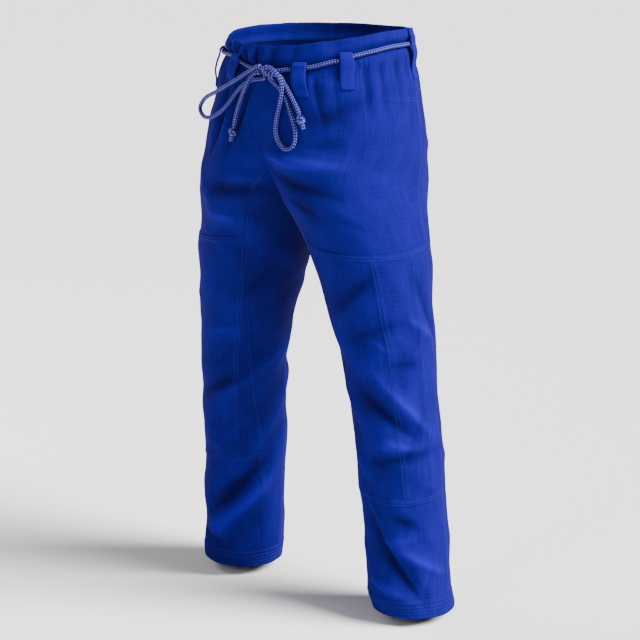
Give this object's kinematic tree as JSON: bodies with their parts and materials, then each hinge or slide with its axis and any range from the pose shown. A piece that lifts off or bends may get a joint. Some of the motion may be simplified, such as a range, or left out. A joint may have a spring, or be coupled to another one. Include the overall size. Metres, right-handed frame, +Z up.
{
  "type": "jiu-jitsu pants",
  "caption": "Blue cotton martial-arts trousers in worn, hollow shape, with gathered waist, belt loops, drawcord tied in a bow, inner-leg gussets and knee patches.",
  "frame": {"origin": "middle of the waist at the height of the drawcord, where the wearer's waist holds the pants up", "axes": "+Z up, -Y out of the front, +X towards the wearer's left"},
  "size_m": [0.5312, 0.319, 0.983],
  "materials": {
    "drill": "matte cotton drill, fine upright weave",
    "patch": "matte cotton drill, doubled",
    "hem": "matte cotton drill, turned up and stitched in rows",
    "band": "matte cotton drill, folded double",
    "loops": "matte cotton drill strap",
    "cord": "braided polyester rope, pale flecks on blue"
  },
  "bodies": {
    "root": {"front_left": "drill", "front_right": "drill", "back_left": "drill", "back_right": "drill", "gusset_left": "drill", "gusset_right": "drill", "knee_patch_left": "patch", "knee_patch_right": "patch", "hem_left": "hem", "hem_right": "hem", "waistband": "band", "loop_front_left": "loops", "loop_side_left": "loops", "loop_back_left": "loops", "loop_front_right": "loops", "loop_side_right": "loops", "loop_back_right": "loops", "drawcord_waist": "cord", "drawcord_knot": "cord", "bow_loop_left": "cord", "bow_loop_right": "cord", "tail_left": "cord", "tail_right": "cord", "end_knot_left": "cord", "end_knot_right": "cord"}
  },
  "joints": []
}
